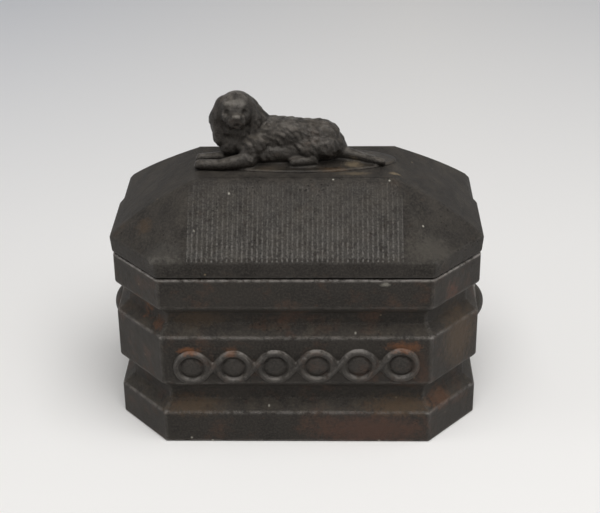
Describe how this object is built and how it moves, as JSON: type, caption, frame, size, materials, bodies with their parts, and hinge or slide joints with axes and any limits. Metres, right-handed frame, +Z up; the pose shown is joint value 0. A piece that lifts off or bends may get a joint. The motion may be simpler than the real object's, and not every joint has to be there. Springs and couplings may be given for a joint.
{
  "type": "match box",
  "caption": "Cast iron table match box with banded walls, a guilloche front, a boss on each end, a hinged hipped lid with a ribbed striker slope, and a dog lying on top.",
  "frame": {"origin": "centre of the base, under the middle of the lid's outline", "axes": "+Z up, +X to the right along the length, -Y towards the front with the guilloche"},
  "size_m": [0.1218, 0.0708, 0.1059],
  "materials": {
    "box_iron": "dark brown-black cast iron, dry, with thin rust",
    "lid_iron": "dark brown-black cast iron with worn grey edges",
    "dog_iron": "dark cast iron, softly worn on its high places",
    "pin_steel": "dull drawn steel, browned",
    "screw_steel": "dull turned steel, browned"
  },
  "bodies": {
    "box": {"box_body": "box_iron", "hinge_pin": "pin_steel"},
    "lid_with_dog": {"lid": "lid_iron", "dog_figure": "dog_iron", "figure_screw_left": "screw_steel", "figure_screw_right": "screw_steel"}
  },
  "joints": [
    {"name": "lid_hinge", "type": "hinge", "parent": "box", "child": "lid_with_dog", "pos_m": [0, 0.0348, 0.058], "axis": [-1, 0, 0], "range_deg": [0, 105]}
  ]
}
